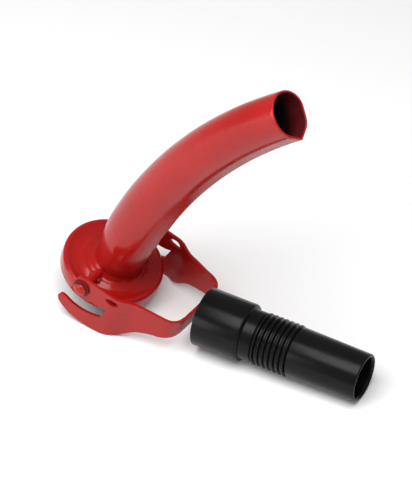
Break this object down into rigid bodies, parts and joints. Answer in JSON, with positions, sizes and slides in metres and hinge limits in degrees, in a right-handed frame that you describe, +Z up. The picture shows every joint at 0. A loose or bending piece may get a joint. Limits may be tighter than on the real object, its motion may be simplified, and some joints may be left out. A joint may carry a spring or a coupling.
{
  "type": "fuel can pouring spout",
  "caption": "Bent steel can spout on a round pressed cap with a pivoted U-shaped hook lever, lying beside its flexible ribbed push-on nozzle.",
  "frame": {"origin": "middle of the footprint, on the surface that the part lies on", "axes": "+X from the cap towards the lever's crosspiece and the nozzle, +Y along the pivot pins from the near one to the far one, +Z up"},
  "size_m": [0.2262, 0.082, 0.2348],
  "materials": {
    "red_enamel": "glossy bright red enamel on steel",
    "gasket_rubber": "matt black fuel-resistant rubber",
    "plated_steel": "dull zinc-plated steel",
    "black_plastic": "satin black moulded flexible plastic"
  },
  "bodies": {
    "lever_body": {"lever": "red_enamel"},
    "spout": {"spout_tube_lower": "red_enamel", "spout_tube_middle": "red_enamel", "spout_tube_upper": "red_enamel", "cap_shell": "red_enamel", "gasket": "gasket_rubber", "strainer_rim": "plated_steel", "strainer_gauze": "plated_steel", "breather_tube": "plated_steel", "breather_clip_lower": "plated_steel", "breather_clip_upper": "plated_steel", "pivot_pin_near": "red_enamel", "pivot_washer_near": "red_enamel", "pivot_pin_far": "red_enamel", "pivot_washer_far": "red_enamel"},
    "nozzle_root": {"nozzle_socket": "black_plastic", "nozzle_bellows": "black_plastic"},
    "nozzle_end": {"nozzle_tip": "black_plastic"}
  },
  "joints": [
    {"name": "lever_pivot", "type": "hinge", "parent": "lever_body", "child": "spout", "pos_m": [-0.07655, 0, 0.03302], "axis": [0, 1, 0], "range_deg": [-60, 22]},
    {"name": "nozzle_draw", "type": "slide", "parent": "lever_body", "child": "nozzle_root", "axis": [0.9898, 0.1426, 0], "range_m": [0, 0.04]},
    {"name": "nozzle_flex", "type": "hinge", "parent": "nozzle_root", "child": "nozzle_end", "pos_m": [0.04945, 0.0057, 0.01891], "axis": [0, 0, 1], "range_deg": [-30, 30], "stiffness_Nm_per_rad": 0.1, "deforming": ["nozzle_bellows"]}
  ]
}
